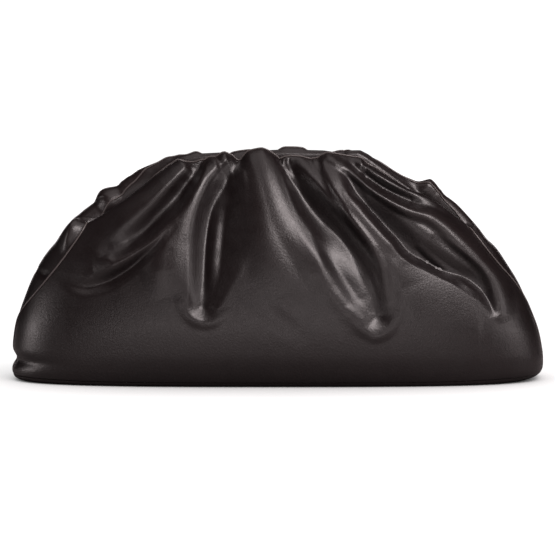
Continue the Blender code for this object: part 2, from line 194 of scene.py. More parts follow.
def grain_group():
    """The skin of smooth calf leather: fine pores, a soft uneven surface, and a slightly uneven dye."""
    group = bpy.data.node_groups.new("calf_grain", "ShaderNodeTree")
    wanted = (("Grain Size", 0.0014), ("Pore Depth", 0.5), ("Ripple Size", 0.012), ("Ripple Depth", 0.5))
    for label, value in wanted:
        group.interface.new_socket(label, in_out="INPUT", socket_type="NodeSocketFloat").default_value = value
    group.interface.new_socket("Height", in_out="OUTPUT", socket_type="NodeSocketFloat")
    group.interface.new_socket("Dye", in_out="OUTPUT", socket_type="NodeSocketFloat")
    group.interface.new_socket("Polish", in_out="OUTPUT", socket_type="NodeSocketFloat")
    nodes, links = group.nodes, group.links
    enter, leave = nodes.new("NodeGroupInput"), nodes.new("NodeGroupOutput")
    place = nodes.new("ShaderNodeTexCoord")

    def worked(operation, first, second):
        step = nodes.new("ShaderNodeMath")
        step.operation = operation
        for socket, value in zip(step.inputs, (first, second)):
            if isinstance(value, (int, float)):
                socket.default_value = value
            else:
                links.new(value, socket)
        return step.outputs[0]

    def noise(scale, detail, roughness):
        made = nodes.new("ShaderNodeTexNoise")
        made.inputs["Detail"].default_value = detail
        made.inputs["Roughness"].default_value = roughness
        links.new(place.outputs["Object"], made.inputs["Vector"])
        links.new(scale, made.inputs["Scale"])
        return made.outputs["Fac"]

    grain_scale = worked("DIVIDE", 1.0, enter.outputs["Grain Size"])
    ripple_scale = worked("DIVIDE", 1.0, enter.outputs["Ripple Size"])
    pebble = nodes.new("ShaderNodeTexVoronoi")
    pebble.feature = "SMOOTH_F1"
    pebble.inputs["Smoothness"].default_value = PEBBLE_SMOOTHNESS
    links.new(place.outputs["Object"], pebble.inputs["Vector"])
    links.new(grain_scale, pebble.inputs["Scale"])
    pores = noise(worked("MULTIPLY", grain_scale, PORES_TO_GRAIN), 3, 0.6)
    skin = worked("ADD", pebble.outputs["Distance"], pores)
    ripple = noise(ripple_scale, 3, 0.5)
    fine = worked("MULTIPLY", skin, enter.outputs["Pore Depth"])
    coarse = worked("MULTIPLY", ripple, enter.outputs["Ripple Depth"])
    links.new(worked("ADD", fine, coarse), leave.inputs["Height"])
    links.new(noise(worked("MULTIPLY", ripple_scale, CLOUDS_TO_RIPPLE), 4, 0.6), leave.inputs["Dye"])
    links.new(worked("MULTIPLY", skin, ripple), leave.inputs["Polish"])
    return group


CALF_GRAIN = grain_group()
GRAIN_BUMP = 0.38
GRAIN_DEPTH = 0.0004
POLISH_TOP = 0.6
POLISH_SPREAD = 0.05


def leather_finish(name, dye, lit_dye, worn_and_lit, roughness, pore_depth, ripple_depth):
    """Dyed calf leather, satin, painted a little lighter on high folds, the lip and turned edges: partly real
    rubbing, partly a painted highlight.
    """
    finish = bpy.data.materials.new(name)
    finish.use_nodes = True
    nodes, links = finish.node_tree.nodes, finish.node_tree.links
    shader = nodes["Principled BSDF"]
    grain = nodes.new("ShaderNodeGroup")
    grain.node_tree = CALF_GRAIN
    grain.inputs["Pore Depth"].default_value = pore_depth
    grain.inputs["Ripple Depth"].default_value = ripple_depth
    wear_and_highlight = nodes.new("ShaderNodeAttribute")
    wear_and_highlight.attribute_name = "wear_and_highlight"
    cloudy = nodes.new("ShaderNodeMix")
    cloudy.data_type = "RGBA"
    cloudy.inputs["A"].default_value = dye
    cloudy.inputs["B"].default_value = lit_dye
    links.new(grain.outputs["Dye"], cloudy.inputs["Factor"])
    edges = nodes.new("ShaderNodeMix")
    edges.data_type = "RGBA"
    edges.inputs["B"].default_value = worn_and_lit
    links.new(wear_and_highlight.outputs["Fac"], edges.inputs["Factor"])
    links.new(cloudy.outputs["Result"], edges.inputs["A"])
    links.new(edges.outputs["Result"], shader.inputs["Base Color"])
    satin = nodes.new("ShaderNodeMapRange")
    satin.inputs["From Max"].default_value = POLISH_TOP
    satin.inputs["To Min"].default_value = roughness - POLISH_SPREAD
    satin.inputs["To Max"].default_value = roughness + POLISH_SPREAD
    links.new(grain.outputs["Polish"], satin.inputs["Value"])
    links.new(satin.outputs["Result"], shader.inputs["Roughness"])
    bump = nodes.new("ShaderNodeBump")
    bump.inputs["Strength"].default_value = GRAIN_BUMP
    bump.inputs["Distance"].default_value = GRAIN_DEPTH
    links.new(grain.outputs["Height"], bump.inputs["Height"])
    links.new(bump.outputs["Normal"], shader.inputs["Normal"])
    finish.diffuse_color = dye
    return finish


# The third colour, for high folds and the lip, is partly rubbed wear and partly a painted highlight.
BODY_LEATHER = leather_finish(
    "smooth_black_brown_calf",
    dye=(0.0040, 0.0022, 0.0023, 1),
    lit_dye=(0.0066, 0.0038, 0.0040, 1),
    worn_and_lit=(0.012, 0.0075, 0.0075, 1),
    roughness=0.36,
    pore_depth=0.45,
    ripple_depth=0.12,
)

base_places = row_places(0, BASE_ROWS)
base_front = smooth_grid(base_places, FRONT, BASE_COLUMNS // 2)
base_back = smooth_grid(base_places, BACK, BASE_COLUMNS // 2)
base_grid = np.concatenate([base_front[:, :-1], base_back], axis=1)
base_normals = outward_normals(base_grid)
base_grid = trimmed(base_grid, 0, False, SEAM_GAP)[:, :-1]
base_normals = base_normals[:, :-1]
rows, around = base_grid.shape[:2]
walls = [
    (r * around + c, r * around + (c + 1) % around, (r + 1) * around + (c + 1) % around, (r + 1) * around + c)
    for r in range(rows - 1)
    for c in range(around)
]
inner = rows * around
walls += [tuple(i + inner for i in reversed(face)) for face in walls]
rim = inner - around
walls += [
    (rim + c, rim + (c + 1) % around, rim + (c + 1) % around + inner, rim + c + inner) for c in range(around)
]
walls += [tuple(range(around - 1, -1, -1)), tuple(range(inner, inner + around))]
base_points = np.concatenate([base_grid.reshape(-1, 3), (base_grid - base_normals * LEATHER).reshape(-1, 3)])
base_panel = leather_piece("base_leather", base_points, walls, {"wear_and_highlight": np.zeros(len(base_points))})
base_panel.data.set_sharp_from_angle(angle=BASE_SHARP_ANGLE)
base_panel.data.materials.append(BODY_LEATHER)
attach(base_panel, "root")
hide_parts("base_panel")


# The front: one wide piece of soft leather, plain and full below, gathered above into deep rolling folds
# that run up into the lip, where the leather is turned in over the clasp frame.

FRONT_COLUMNS = 400
FRONT_ROWS = (8, 12, 19, 23, 22, 20, 20, 18, 13, 9, 6, 4, 4)
SEAM_CROWD = 0.4
SEAM_QUIET = 0.035
LIP_FADE = 1.5
FOLDS_PAST_LIP = 1.4
DEEPEST_FOLD = 0.024
HIGHEST_FOLD = 0.022
FRAME_ROOM = 0.0090
LIP_ROOM = 0.0052
MOUTH_END_GAP = 0.0030
FRONT_RISE_FROM = 9.5

# Folds are placed on an elevation of the bag, drawn as it is seen from 2 m off and a little above. Places on
# it are in steps of 0.72 mm, across from the left and down from the top.
VIEW_POINT = Vector((0, -1.9908, 0.2757))
VIEW_TARGET = Vector((0, 0, 0.0725))
VIEW_STEPS = 555
VIEW_STEP = 0.0007215
GROUND_STEP = 384
LEAST_FACING = 0.3

# line is the path of a fold from its top down; left and right are how far its foot reaches to each side, in
# steps; lift is its height in millimetres, below zero for a hollow. All three follow the line evenly. full is
# the shape across it: 1.3 is a sharp valley with straight walls, 2 is round, 3 is flat with a steep side. A
# pair gives the left side and then the right. lean is how far its top rolls over to its right, in steps.
Fold = namedtuple("Fold", "name full line left right lift lean", defaults=(0,))
FRONT_FOLDS = [
    Fold(*row)
    for row in (
        (
            "first_crest", 2.0,
            ((184, 168), (168, 187), (150, 205), (130, 225), (112, 243)),
            (14, 24, 30, 30),
            (11, 15, 17, 17),
            (1.0, 2.8, 3.4, 2.8, 0.8),
        ),
        (
            "first_hollow", 1.8,
            ((197, 169), (187, 185), (176, 201), (164, 215), (151, 227), (138, 237), (127, 245), (115, 251)),
            (12, 16, 20, 22, 24, 24, 24, 22),
            (10, 12, 13, 13, 13, 13, 12, 12),
            (-4.0, -7.5, -8.5, -8.0, -7.4, -6.8, -5.6, -3.0),
        ),
        (
            "first_inner_crest", 2.0,
            ((172, 219), (159, 234), (144, 247), (128, 257), (110, 264), (92, 266)),
            (10, 13, 16, 20, 20),
            (8, 12, 16, 20),
            (0.6, 2.8, 4.0, 4.4, 4.0, 0.8),
        ),
        (
            "first_crease", 1.5,
            ((170, 226), (156, 244), (139, 260), (121, 274), (103, 284), (84, 288), (66, 282)),
            (7, 10, 13, 14, 12),
            (8, 10, 11, 9),
            (-0.8, -3.0, -4.0, -4.4, -4.2, -2.8, -0.3),
        ),
        (
            "second_swell", 2.0,
            ((186, 194), (174, 220), (165, 246), (162, 270), (170, 296)),
            (14, 22, 25, 24),
            (14, 22, 27, 24),
            (0.6, 3.0, 4.0, 3.4, 0.4),
        ),
        (
            "second_crest", 2.0,
            (
                (222, 159), (209, 171), (198, 188), (191, 208), (187, 230), (185, 254), (185, 280), (189, 300),
                (196, 315),
            ),
            (10, 13, 17, 20, 17),
            (8, 12, 14, 14, 10),
            (2.0, 3.4, 3.4, 2.2, 1.4, 1.4, 1.2, 0.6),
        ),
        (
            "third_hollow", (1.8, 1.5),
            (
                (238, 163), (230, 178), (221, 194), (214, 210), (210, 228), (208, 246), (207, 262), (206, 280),
                (205, 294), (203, 305),
            ),
            (12, 17, 18, 18, 20, 21, 20, 19, 18, 17),
            (8, 18, 28, 36, 41, 43, 41, 35, 26, 17),
            (-3.0, -6.5, -9.5, -11.0, -11.5, -11.5, -10.8, -9.2, -7.4, -4.8),
        ),
        (
            "third_inner_crest", 2.0,
            ((222, 196), (217, 214), (214, 234), (212, 254), (211, 272), (209, 288), (206, 300)),
            (8, 8),
            (9, 11, 9),
            (0.4, 2.2, 3.2, 3.4, 3.0, 1.8, 0.4),
        ),
        (
            "third_rim", 2.0,
            ((180, 304), (189, 317), (202, 323), (214, 322), (226, 313)),
            (8, 8),
            (7, 7),
            (0.3, 0.8, 0.8, 0.3),
        ),
        (
            "middle_crest", 2.0,
            ((257, 155), (261, 180), (266, 205), (270, 232), (276, 260), (288, 292)),
            (18, 24, 32, 36),
            (16, 24, 32, 36),
            (2.0, 3.5, 4.2, 3.8, 2.6, 0.8),
        ),
        (
            "middle_edge", 2.0,
            (
                (266, 156), (274, 176), (283, 200), (292, 222), (303, 241), (316, 259), (330, 278), (345, 299),
                (360, 318),
            ),
            (12, 20, 24, 22),
            (9, 12, 13, 12),
            (0.8, 2.0, 2.6, 3.0, 3.0, 2.4, 0.8),
        ),
        (
            "middle_dimple", 2.0,
            ((254, 292), (264, 305), (280, 320), (300, 336)),
            (16, 14),
            (14, 12),
            (-0.3, -0.9, -0.2),
        ),
        (
            "fourth_hollow", (2.2, 1.4),
            (
                (290, 166), (295, 182), (305, 200), (320, 219), (338, 238), (350, 256), (360, 279), (370, 298),
                (376, 315),
            ),
            (9, 10, 14, 17, 26, 33, 34, 30, 17),
            (14, 19, 24, 27, 25, 25, 24, 21, 17),
            (-5.0, -9.5, -11.5, -11.5, -10.0, -8.5, -7.5, -6.4, -4.2),
        ),
        ("fourth_lip_crease", 2.0, ((279, 160), (285, 172), (294, 187)), (4, 4), (4, 4), (-0.8, -1.6, -0.4)),
        ("fourth_lip_crest", 2.0, ((283, 160), (289, 172), (298, 187)), (4, 4), (4, 4), (0.6, 1.2, 0.3)),
        (
            "fourth_inner_crest", 2.0,
            ((321, 226), (332, 242), (344, 259), (355, 277), (365, 296), (371, 312)),
            (14, 18, 14),
            (11, 15, 11),
            (0.4, 2.2, 3.0, 3.2, 2.4, 0.4),
        ),
        (
            "fourth_rim", 2.0,
            ((350, 317), (363, 331), (376, 337), (389, 331), (397, 317)),
            (8, 8),
            (7, 7),
            (0.3, 0.8, 0.8, 0.3),
        ),
        (
            "fifth_thin_crest", 2.0,
            ((309, 168), (320, 184), (332, 201), (350, 220), (366, 240), (378, 259), (386, 279), (390, 298)),
            (7, 9),
            (6, 7),
            (0.6, 1.6, 1.8, 1.8, 1.4, 0.4),
        ),
        (
            "fifth_crest", 2.0,
            ((319, 161), (331, 182), (344, 201), (359, 222), (376, 243), (389, 264), (400, 290)),
            (9, 10, 12, 20),
            (20, 26, 32, 38),
            (2.0, 4.2, 5.4, 5.4, 4.4, 3.0, 0.6),
        ),
        (
            "fifth_edge", 2.0,
            ((350, 191), (361, 208), (374, 223), (389, 239), (406, 255)),
            (10, 12, 12),
            (9, 9, 9),
            (0.8, 1.2, 1.2, 1.0, 0.6),
            3.2,
        ),
        (
            "fifth_soft_hollow", 2.0,
            ((380, 256), (387, 278), (391, 300), (389, 320)),
            (12, 13),
            (12, 13),
            (-0.5, -1.4, -0.4),
        ),
        (
            "fifth_hollow", 1.3,
            (
                (346, 174), (354, 190), (364, 206), (378, 222), (393, 238), (410, 253), (428, 263), (448, 272),
                (469, 280), (485, 295), (493, 311),
            ),
            (9, 9, 9, 9, 9, 9, 9, 10, 10, 10, 8),
            (10, 15, 20, 26, 29, 31, 30, 27, 21, 14, 9),
            (-1.5, -7.0, -11.5, -14.5, -15.0, -14.0, -12.5, -10.5, -8.0, -5.0, -1.4),
        ),
        (
            "fifth_crease", 2.0,
            ((416, 250), (428, 262), (442, 273), (457, 283), (476, 296)),
            (4, 4),
            (4, 4),
            (-0.6, -1.4, -0.6),
        ),
        (
            "fifth_hem", 2.0,
            ((420, 247), (432, 258), (446, 269), (461, 279), (480, 292)),
            (4, 4),
            (5, 5),
            (0.3, 0.8, 0.3),
        ),
        (
            "sixth_crest", 2.0,
            (
                (329, 157), (345, 167), (362, 180), (380, 193), (398, 204), (414, 211), (428, 215), (443, 224),
                (459, 238), (475, 253), (488, 267), (497, 282), (502, 298), (503, 312),
            ),
            (7, 8, 12, 18, 14),
            (6, 7, 10, 17, 13),
            (1.5, 3.0, 4.0, 5.0, 5.0, 4.0, 1.2),
        ),
        (
            "sixth_groove", 2.0,
            ((436, 238), (460, 255), (478, 271), (489, 287)),
            (6, 6),
            (6, 6),
            (-0.4, -1.4, -0.4),
        ),
        (
            "sixth_hollow", 1.5,
            ((351, 164), (366, 177), (381, 187), (396, 195), (412, 202), (427, 207)),
            (8, 9),
            (9, 10),
            (-1.5, -6.0, -8.0, -7.5, -6.0, -1.5),
        ),
        (
            "seventh_hollow", 2.0,
            ((450, 216), (470, 237), (488, 256), (505, 276)),
            (7, 8),
            (7, 8),
            (-0.4, -1.2, -0.5),
        ),
        ("end_crease", 2.0, ((483, 300), (485, 325), (484, 355)), (8, 8), (8, 8), (-0.3, -0.5, -0.2)),
        ("lip_pleat_a", 2.0, ((204, 160), (197, 172), (190, 184)), (5, 4), (5, 4), (-1.4, -1.0, -0.3)),
        ("lip_pleat_b", 2.0, ((318, 160), (322, 172), (330, 186)), (5, 5), (5, 5), (-1.4, -1.0, -0.3)),
    )
]

# The top edge of the front's lip on the same elevation, scalloped where the gathers run over it.
FRONT_LIP = (
    (84, 244), (100, 232), (110, 222), (120, 213), (138, 195), (156, 176), (168, 166), (178, 160), (186, 163),
    (194, 161), (202, 159), (210, 157), (217, 160), (224, 153), (232, 155), (240, 159), (248, 153), (262, 151),
    (272, 153), (280, 159), (290, 155), (303, 157), (314, 160), (324, 157), (335, 154), (348, 156), (362, 158),
    (369, 167), (380, 176), (400, 187), (415, 193), (427, 199), (440, 209), (470, 236),
)


def seen_at(points):
    """Where points appear on the elevation, across and down, in steps."""
    forward = (VIEW_TARGET - VIEW_POINT).normalized()
    across = forward.cross(Vector((0, 0, 1))).normalized()
    upward = across.cross(forward)
    reach = points - np.array(VIEW_POINT)
    away = reach @ np.array(forward)
    scale = VIEW_POINT.length / VIEW_STEP / away
    middle = VIEW_STEPS / 2
    seen_across = middle + scale * (reach @ np.array(across))
    seen_down = middle - scale * (reach @ np.array(upward))
    return np.stack([seen_across, seen_down], axis=-1)


def spread_over(values, place):
    """Values spread evenly from place 0 to 1 and read smoothly."""
    return np.interp(place, np.linspace(0, 1, len(values)), values)


# Each stretch of a fold's line is cut finer, its two sides blend over a few steps, and its ends fade evenly.
LINE_CUTS = 6
SIDE_BLEND = 1.5
END_FADE = 4
MILLIMETRE = 0.001


def fold_shape(fold, seen):
    """How far one fold lifts the leather and moves it across and down at places on the elevation, in metres."""
    pieces = len(fold.line) - 1
    cuts = np.linspace(0, pieces, pieces * LINE_CUTS + 1)
    line = np.array([smooth_through(fold.line, cut) for cut in cuts])
    reach = max(fold.left + fold.right)
    near = np.all((seen > line.min(axis=0) - reach) & (seen < line.max(axis=0) + reach), axis=1)
    shape = np.zeros((len(seen), 3))
    if not near.any():
        return shape
    here, step = line[:-1], np.diff(line, axis=0)
    run = np.concatenate([[0], np.cumsum(np.hypot(*step.T))])
    to = seen[near][:, None, :] - here
    along = np.clip((to * step).sum(axis=2) / (step**2).sum(axis=1), 0, 1)
    away = to - along[..., None] * step
    distance = np.hypot(away[..., 0], away[..., 1])
    nearest = distance.argmin(axis=1)
    pick = np.arange(len(nearest))
    place = (run[nearest] + along[pick, nearest] * np.diff(run)[nearest]) / run[-1]
    turn = away[pick, nearest, 0] * step[nearest, 1] - away[pick, nearest, 1] * step[nearest, 0]
    side = 0.5 + 0.5 * np.tanh(turn / (np.hypot(*step[nearest].T) * SIDE_BLEND))
    foot = spread_over(fold.left, place) * (1 - side) + spread_over(fold.right, place) * side
    share = np.clip(distance[pick, nearest] / foot, 0, 1)
    full_left, full_right = np.broadcast_to(fold.full, 2)
    before_end = eased(END_FADE - END_FADE * place)
    full = full_left + (full_right - full_left) * (0.5 + (side - 0.5) * before_end)
    shape[near, 0] = spread_over(fold.lift, place) * MILLIMETRE * (1 - share**full) ** 2
    if fold.lean:
        run_of = step[nearest] / np.hypot(*step[nearest].T)[:, None]
        rolled = fold.lean * VIEW_STEP * (1 - share**2) ** 2 * eased(END_FADE * place) * before_end
        shape[near, 1] = rolled * run_of[:, 1]
        shape[near, 2] = -rolled * run_of[:, 0]
    return shape


LIP_MOST = 0.006
LIP_END_COLUMNS = 12


def lip_rise(grid, places, lip_line, from_level):
    """Moves the leather near the lip up or down so that the lip's edge follows a drawn line."""
    lip_row = int(np.argmin(np.abs(places - LIP_LEVEL)))
    seen = seen_at(grid[lip_row])
    drawn = np.array(lip_line, float)
    wanted = np.interp(seen[:, 0], drawn[:, 0], drawn[:, 1])
    off = (seen[:, 1] - wanted) * VIEW_STEP
    inside = (seen[:, 0] > drawn[0, 0]) & (seen[:, 0] < drawn[-1, 0])
    off = np.clip(np.where(inside, off, 0), -LIP_MOST, LIP_MOST)
    column = np.arange(len(off))
    edge = eased(column / LIP_END_COLUMNS) * eased((len(off) - 1 - column) / LIP_END_COLUMNS)
    share = eased((places - from_level) / (LIP_LEVEL - from_level))
    grid = grid.copy()
    grid[..., 2] += share[:, None] * (off * edge)[None, :]
    return grid


def folded(grid, places, folds, side):
    """A panel with its folds pressed in and raised, its outward normals and how high each point was lifted."""
    rows, columns, _ = grid.shape
    normals = outward_normals(grid)
    if side == FRONT:
        # Folds are pushed in along the line of sight, so that each stays where the elevation has it.
        seen = seen_at(grid)
        sight = np.array(VIEW_POINT) - grid
        sight /= np.linalg.norm(sight, axis=2, keepdims=True)
        facing = (normals * sight).sum(axis=2, keepdims=True)
        share = eased((facing - LEAST_FACING) / LEAST_FACING)
        push = share * sight / np.maximum(facing, LEAST_FACING) + (1 - share) * normals
    else:
        across = VIEW_STEPS / 2 + grid[..., 0] / VIEW_STEP
        seen = np.stack([across, GROUND_STEP - grid[..., 2] / VIEW_STEP], axis=-1)
        push = normals
    shape = sum(fold_shape(fold, seen.reshape(-1, 2)) for fold in folds).reshape(rows, columns, 3)
    lift = shape[..., 0].copy()
    column = np.arange(columns)
    from_seam = np.minimum(column, columns - 1 - column) / (columns - 1)
    share = eased(from_seam / SEAM_QUIET)
    over_lip = eased((LIP_LEVEL + FOLDS_PAST_LIP - places) / LIP_FADE)
    share = share * (over_lip * np.clip(places - SEAM_LEVEL, 0, 1))[:, None]
    lift *= share
    kept_free = np.interp(places, (LIP_LEVEL - LIP_FADE, LIP_LEVEL), (FRAME_ROOM, LIP_ROOM))
    room = np.clip(np.abs(grid[..., 1]) - kept_free[:, None], SEAM_GAP, DEEPEST_FOLD)
    room = np.where(lift > 0, HIGHEST_FOLD, room)
    lift = room * np.tanh(lift / room)
    made = grid + push * lift[..., None]
    made[..., 0] += share * shape[..., 1]
    made[..., 2] -= share * shape[..., 2]
    return made, outward_normals(made), lift


LINING_STEP = 4


def sheet_of_leather(name, outside, normals, wear_and_highlight):
    """A panel as a closed body: a finely cut outside, a coarser inside, and its four cut edges."""
    rows, columns, _ = outside.shape
    index = np.arange(rows * columns).reshape(rows, columns)
    faces = np.stack([index[:-1, :-1], index[:-1, 1:], index[1:, 1:], index[1:, :-1]], axis=-1).reshape(-1, 4)
    faces = [tuple(face) for face in faces.tolist()]
    row_pick = np.unique(np.append(np.arange(0, rows, LINING_STEP), rows - 1))
    column_pick = np.unique(np.append(np.arange(0, columns, LINING_STEP), columns - 1))
    lining = (outside - normals * LEATHER)[np.ix_(row_pick, column_pick)]
    inner = rows * columns + np.arange(lining.shape[0] * lining.shape[1]).reshape(lining.shape[:2])
    backs = np.stack([inner[:-1, :-1], inner[1:, :-1], inner[1:, 1:], inner[:-1, 1:]], axis=-1).reshape(-1, 4)
    faces += [tuple(face) for face in backs.tolist()]
    borders = (
        (index[0], inner[0], column_pick),
        (index[:, -1], inner[:, -1], row_pick),
        (index[-1, ::-1], inner[-1, ::-1], columns - 1 - column_pick[::-1]),
        (index[::-1, 0], inner[::-1, 0], rows - 1 - row_pick[::-1]),
    )
    for outer_line, inner_line, picked in borders:
        for k in range(len(inner_line) - 1):
            fine = outer_line[picked[k] : picked[k + 1] + 1][::-1].tolist()
            faces.append(tuple(fine + [int(inner_line[k]), int(inner_line[k + 1])]))
    points = np.concatenate([outside.reshape(-1, 3), lining.reshape(-1, 3)])
    values = np.concatenate([wear_and_highlight.reshape(-1), np.zeros(lining.shape[0] * lining.shape[1])])
    return leather_piece(name, points, faces, {"wear_and_highlight": values})


# How much the leather is painted lighter on its folds and on its lip, partly as rubbed wear and partly as a
# painted highlight, and how high a fold is when it is lightest.
WEAR_AND_HIGHLIGHT_FOLDS, WEAR_AND_HIGHLIGHT_LIP = 0.5, 0.25
WEAR_AND_HIGHLIGHT_HEIGHT = 0.006


def panel(name, node, side, columns, rows, folds, lip_line, from_level):
    """It returns the outside that the rolled edges follow."""
    places = row_places(SEAM_LEVEL, rows)
    grid = lip_rise(smooth_grid(places, side, columns, SEAM_CROWD), places, lip_line, from_level)
    outside, normals, lift = folded(grid, places, folds, side)
    past_lip = np.clip((places - LIP_LEVEL) / LIP_FADE + 1, 0, 1)
    side_gap = SEAM_GAP + past_lip * (MOUTH_END_GAP - SEAM_GAP)
    outside = trimmed(outside, 0, True, SEAM_GAP)
    outside = trimmed(trimmed(outside, 1, True, side_gap), 1, False, side_gap)
    on_lip = eased(places - LIP_LEVEL + 1)[:, None]
    wear_and_highlight = WEAR_AND_HIGHLIGHT_FOLDS * eased(lift / WEAR_AND_HIGHLIGHT_HEIGHT) + WEAR_AND_HIGHLIGHT_LIP * on_lip
    piece = sheet_of_leather(name, outside, normals, wear_and_highlight)
    piece.data.materials.append(BODY_LEATHER)
    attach(piece, "root")
    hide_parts(node)
    return outside, places


front_outside, front_places = panel(
    "front_leather", "front_panel", FRONT, FRONT_COLUMNS, FRONT_ROWS, FRONT_FOLDS, FRONT_LIP, FRONT_RISE_FROM
)


# The back: the same soft leather, gathered into the same lip. It stands a little fuller than the front
# behind both ends of the mouth, so its puffed gathers show over the front's lip.

BACK_COLUMNS = 260
BACK_ROWS = (6, 8, 12, 15, 15, 14, 14, 14, 11, 8, 6, 3, 3)
BACK_RISE_FROM = 10.5
BACK_LIP = (
    (84, 232), (100, 222), (120, 205), (138, 187), (150, 172), (160, 163), (170, 158), (180, 154), (200, 152),
    (220, 151), (230, 154), (240, 152), (262, 149), (285, 148), (325, 149), (345, 152), (352, 149), (362, 149),
    (370, 153), (380, 160), (400, 174), (420, 188), (440, 203), (470, 230),
)
BACK_FOLDS = [
    Fold(*row)
    for row in (
        (
            "left_swell", 2.0, ((172, 161), (130, 191), (82, 229)),
            (38, 49, 34), (38, 49, 34), (9.4, 15.0, 8.0),
        ),
        ("left_bump", 2.0, ((109, 208), (116, 216), (118, 228)), (16, 14), (18, 14), (7.5, 5.0, 1.0)),
        ("left_crease", 2.0, ((36, 275), (47, 278), (60, 283)), (5, 5), (5, 5), (-1.2, -1.6, -0.6)),
        (
            "right_swell", 2.0, ((383, 166), (431, 200), (483, 250)),
            (29, 40, 31), (29, 40, 31), (8.6, 8.0, 0.8),
        ),
        ("right_bump", 2.0, ((425, 196), (431, 206)), (11, 10), (11, 10), (6.0, 3.0)),
        (
            "left_gather", 2.0, ((212, 155), (186, 160), (162, 172), (140, 190)),
            (5, 6), (5, 6), (-2.2, -3.0, -2.6, -0.8),
        ),
        (
            "right_gather", 2.0, ((352, 156), (374, 163), (396, 178), (418, 195)),
            (5, 6), (5, 6), (-2.2, -3.0, -2.6, -0.8),
        ),
        (
            "first_valley", 2.0, ((182, 157), (132, 216), (82, 284)),
            (18, 29, 27), (18, 29, 27), (-6.6, -10.5, -3.9),
        ),
        (
            "second_valley", 2.0, ((219, 152), (190, 229), (172, 298)),
            (16, 36, 31), (16, 36, 31), (-6.0, -9.9, -6.6),
        ),
        (
            "second_crest", 2.0, ((240, 159), (227, 225), (219, 293)),
            (27, 36, 40), (27, 36, 40), (0.6, 4.4, 1.7),
        ),
        (
            "third_valley", 2.0, ((267, 152), (270, 239), (264, 311)),
            (16, 38, 34), (16, 38, 34), (-6.0, -10.5, -6.0),
        ),
        (
            "third_crest", 2.0, ((293, 159), (309, 220), (317, 293)),
            (25, 36, 36), (25, 36, 36), (0.6, 4.4, 1.7),
        ),
        (
            "fourth_valley", 2.0, ((317, 152), (349, 225), (365, 302)),
            (16, 36, 29), (16, 36, 29), (-6.6, -10.5, -5.5),
        ),
        (
            "fourth_crest", 2.0, ((341, 164), (383, 220), (417, 284)),
            (22, 31, 36), (22, 31, 36), (0.6, 4.4, 1.7),
        ),
        (
            "fifth_valley", 2.0, ((365, 157), (420, 216), (468, 279)),
            (16, 27, 25), (16, 27, 25), (-7.0, -11.0, -3.9),
        ),
    )
]
back_outside, back_places = panel(
    "back_leather", "back_panel", BACK, BACK_COLUMNS, BACK_ROWS, BACK_FOLDS, BACK_LIP, BACK_RISE_FROM
)


# The rolled seam edges: where front and back are sewn together up both ends, and along both lips, the cut
# leather is turned over and pressed, which leaves a thin raised roll that catches the light. The roll's leather
# is painted much lighter than the body's, a painted highlight along it that stands in for its glint.

EDGE_RADIUS = 0.0006
EDGE_STEP = 0.0018
EDGE_UNEVEN = 0.00035
EDGE_WANDER_SCALE = 90
EDGE_SIDES = 10
FRONT_EDGE_PROUD, BACK_EDGE_PROUD = 0.6, 0.4
BACK_EDGE_ENDS = 4

# The roll's finish is a much lighter copy of the body leather: a painted highlight, not the roll's own colour.
EDGE_GLINT_LEATHER = leather_finish(
    "turned_edge_calf_painted_glint",
    dye=(0.028, 0.023, 0.022, 1),
    lit_dye=(0.040, 0.034, 0.032, 1),
    worn_and_lit=(0.060, 0.051, 0.049, 1),
    roughness=0.33,
    pore_depth=0.2,
    ripple_depth=0.5,
)


